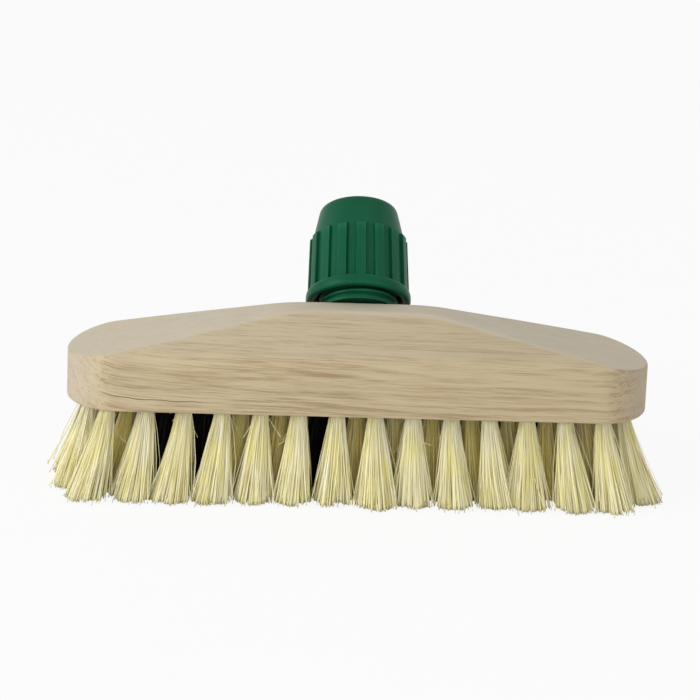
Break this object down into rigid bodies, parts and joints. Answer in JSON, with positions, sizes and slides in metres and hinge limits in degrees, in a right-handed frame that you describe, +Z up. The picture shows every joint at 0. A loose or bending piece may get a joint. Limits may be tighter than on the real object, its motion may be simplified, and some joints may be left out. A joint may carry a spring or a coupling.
{
  "type": "deck brush",
  "caption": "Deck scrubbing brush: hipped wooden block with rows of pale and black fibre tufts and a green screw clamp that grips a round stick.",
  "frame": {"origin": "on the floor under the bristle tips, in the middle of the overall box", "axes": "+X along the block, +Y towards the side that the clamp leans to, +Z up"},
  "size_m": [0.2868, 0.107, 0.1353],
  "materials": {
    "wood": "bare sanded wood",
    "pale_fibre": "cut natural fibre",
    "black_fibre": "cut dyed fibre",
    "green_plastic": "moulded, satin",
    "zinc_steel": "zinc plated"
  },
  "bodies": {
    "brush_head": {"wood_block": "wood", "front_row_bristles": "pale_fibre", "inner_bristles": "pale_fibre", "rear_row_bristles": "pale_fibre", "black_bristles": "black_fibre", "threaded_socket": "green_plastic", "fixing_screw": "zinc_steel"},
    "grip_ring": {"grip_collet": "green_plastic"},
    "nut": {"clamp_nut": "green_plastic"}
  },
  "joints": [
    {"name": "nut_travel", "type": "slide", "parent": "brush_head", "child": "grip_ring", "axis": [0, 0.6357, 0.7719], "range_m": [-0.0045, 0.008]},
    {"name": "nut_spin", "type": "hinge", "parent": "grip_ring", "child": "nut", "pos_m": [0, 0.02299, 0.10391], "axis": [0, 0.6357, 0.7719], "range_deg": [-405, 720]}
  ],
  "couplings": [
    {"joint": "nut_travel", "follows": "nut_spin", "m_per_rad": 0.0006366}
  ]
}
